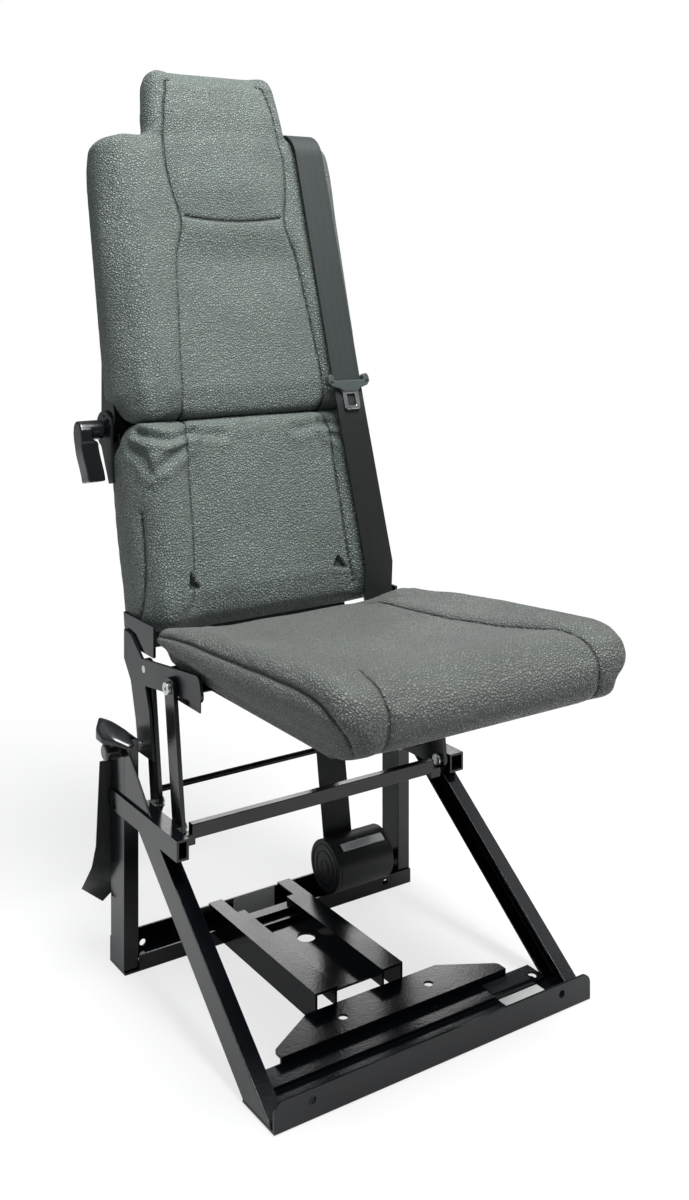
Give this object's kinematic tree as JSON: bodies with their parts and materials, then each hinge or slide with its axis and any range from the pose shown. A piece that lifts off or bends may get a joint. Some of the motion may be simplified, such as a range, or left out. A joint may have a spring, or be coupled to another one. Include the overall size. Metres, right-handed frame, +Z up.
{
  "type": "folding vehicle seat",
  "caption": "folding vehicle seat on a steel floor frame, with a swinging link base, a two-part folding back with headrest and its own shoulder belt",
  "frame": {"origin": "floor level, midway between the two rear floor bolts", "axes": "+Z up, the seat faces -Y, the side with the two handles is -X"},
  "size_m": [0.489, 0.6919, 1.1824],
  "materials": {
    "black_steel": "satin",
    "grey_steel": "satin",
    "zinc_steel": "satin",
    "leatherette": "grained",
    "webbing": "woven",
    "black_plastic": "satin",
    "back_board": "matte",
    "label_white": "matte",
    "label_dark": "matte"
  },
  "bodies": {
    "floor_frame": {"front_floor_member": "black_steel", "rear_floor_member": "black_steel", "centre_tray": "black_steel", "front_cross_plate": "black_steel", "left_rear_post": "black_steel", "right_rear_post": "black_steel", "left_side_rail": "black_steel", "right_side_rail": "black_steel", "left_strut": "black_steel", "right_strut": "black_steel", "left_gusset": "black_steel", "right_gusset": "black_steel", "front_link_pivot_bolts": "zinc_steel", "rear_link_pivot_bolts": "zinc_steel", "rail_end_bolts": "black_steel", "retractor_housing": "black_plastic", "retractor_tie_strip": "zinc_steel", "retractor_end_cap": "black_plastic", "retractor_foot": "black_steel", "strap_bolt": "zinc_steel", "pull_strap": "webbing", "label_plates": "label_white", "front_dark_plate": "label_dark", "belt_webbing_retractor_run": "webbing"},
    "front_links": {"left_front_link": "black_steel", "right_front_link": "black_steel", "cross_bar": "black_steel"},
    "rear_links": {"left_rear_link": "black_steel", "right_rear_link": "black_steel", "link_rod": "black_steel"},
    "seat_carrier": {"left_side_plate": "grey_steel", "right_side_plate": "grey_steel", "front_link_top_bolts": "zinc_steel", "rear_link_top_bolts": "zinc_steel", "seat_pan": "black_steel", "seat_cushion": "leatherette", "left_back_bracket": "black_steel", "right_back_bracket": "black_steel", "lower_back_frame": "black_steel", "lower_back_panel": "back_board", "lower_back_cushion": "leatherette", "left_hinge_disc": "grey_steel", "right_hinge_disc": "grey_steel", "hinge_pins": "black_steel", "belt_anchor": "black_steel", "belt_webbing_rear_run": "webbing", "belt_webbing_front_run": "webbing"},
    "upper_back": {"upper_back_frame": "black_steel", "upper_back_panel": "back_board", "upper_back_cushion": "leatherette", "left_hinge_arm": "black_steel", "right_hinge_arm": "black_steel", "belt_webbing_shoulder_run": "webbing"},
    "back_lever": {"back_release_lever": "black_plastic"},
    "latch_grip": {"latch_handle": "black_plastic"},
    "latch_bolt": {"latch_pin": "zinc_steel"},
    "belt_spool": {"retractor_spool": "black_plastic"},
    "belt_tongue": {"belt_tongue_grip": "black_plastic", "belt_tongue_plate": "zinc_steel"}
  },
  "joints": [
    {"name": "front_link_swing", "type": "hinge", "parent": "floor_frame", "child": "front_links", "pos_m": [0, -0.126, 0.216], "axis": [1, 0, 0], "range_deg": [0, 80]},
    {"name": "rear_link_swing", "type": "hinge", "parent": "floor_frame", "child": "rear_links", "pos_m": [0, -0.04, 0.216], "axis": [1, 0, 0], "range_deg": [0, 80]},
    {"name": "seat_level", "type": "hinge", "parent": "front_links", "child": "seat_carrier", "pos_m": [0, -0.103, 0.38], "axis": [1, 0, 0], "range_deg": [-80, 0]},
    {"name": "back_fold", "type": "hinge", "parent": "seat_carrier", "child": "upper_back", "pos_m": [0, 0.108, 0.674], "axis": [1, 0, 0], "range_deg": [-149, 0]},
    {"name": "back_lever_turn", "type": "hinge", "parent": "seat_carrier", "child": "back_lever", "pos_m": [-0.21, 0.108, 0.674], "axis": [1, 0, 0], "range_deg": [0, 34], "stiffness_Nm_per_rad": 0.6, "springref_deg": -17.19},
    {"name": "latch_turn", "type": "hinge", "parent": "floor_frame", "child": "latch_grip", "pos_m": [-0.235, -0.013, 0.283], "axis": [1, 0, 0], "range_deg": [0, 51]},
    {"name": "latch_slide", "type": "slide", "parent": "floor_frame", "child": "latch_bolt", "axis": [1, 0, 0], "range_m": [0, 0.0055]},
    {"name": "spool_turn", "type": "hinge", "parent": "floor_frame", "child": "belt_spool", "pos_m": [0.12, -0.028, 0.062], "axis": [1, 0, 0], "continuous": true},
    {"name": "tongue_slide", "type": "slide", "parent": "upper_back", "child": "belt_tongue", "axis": [-0.0134, 0.2731, 0.9619], "range_m": [0, 0.28]}
  ],
  "couplings": [
    {"joint": "rear_link_swing", "follows": "front_link_swing", "ratio": 1},
    {"joint": "seat_level", "follows": "front_link_swing", "ratio": -1},
    {"joint": "latch_slide", "follows": "latch_turn", "m_per_rad": 0.0057}
  ]
}
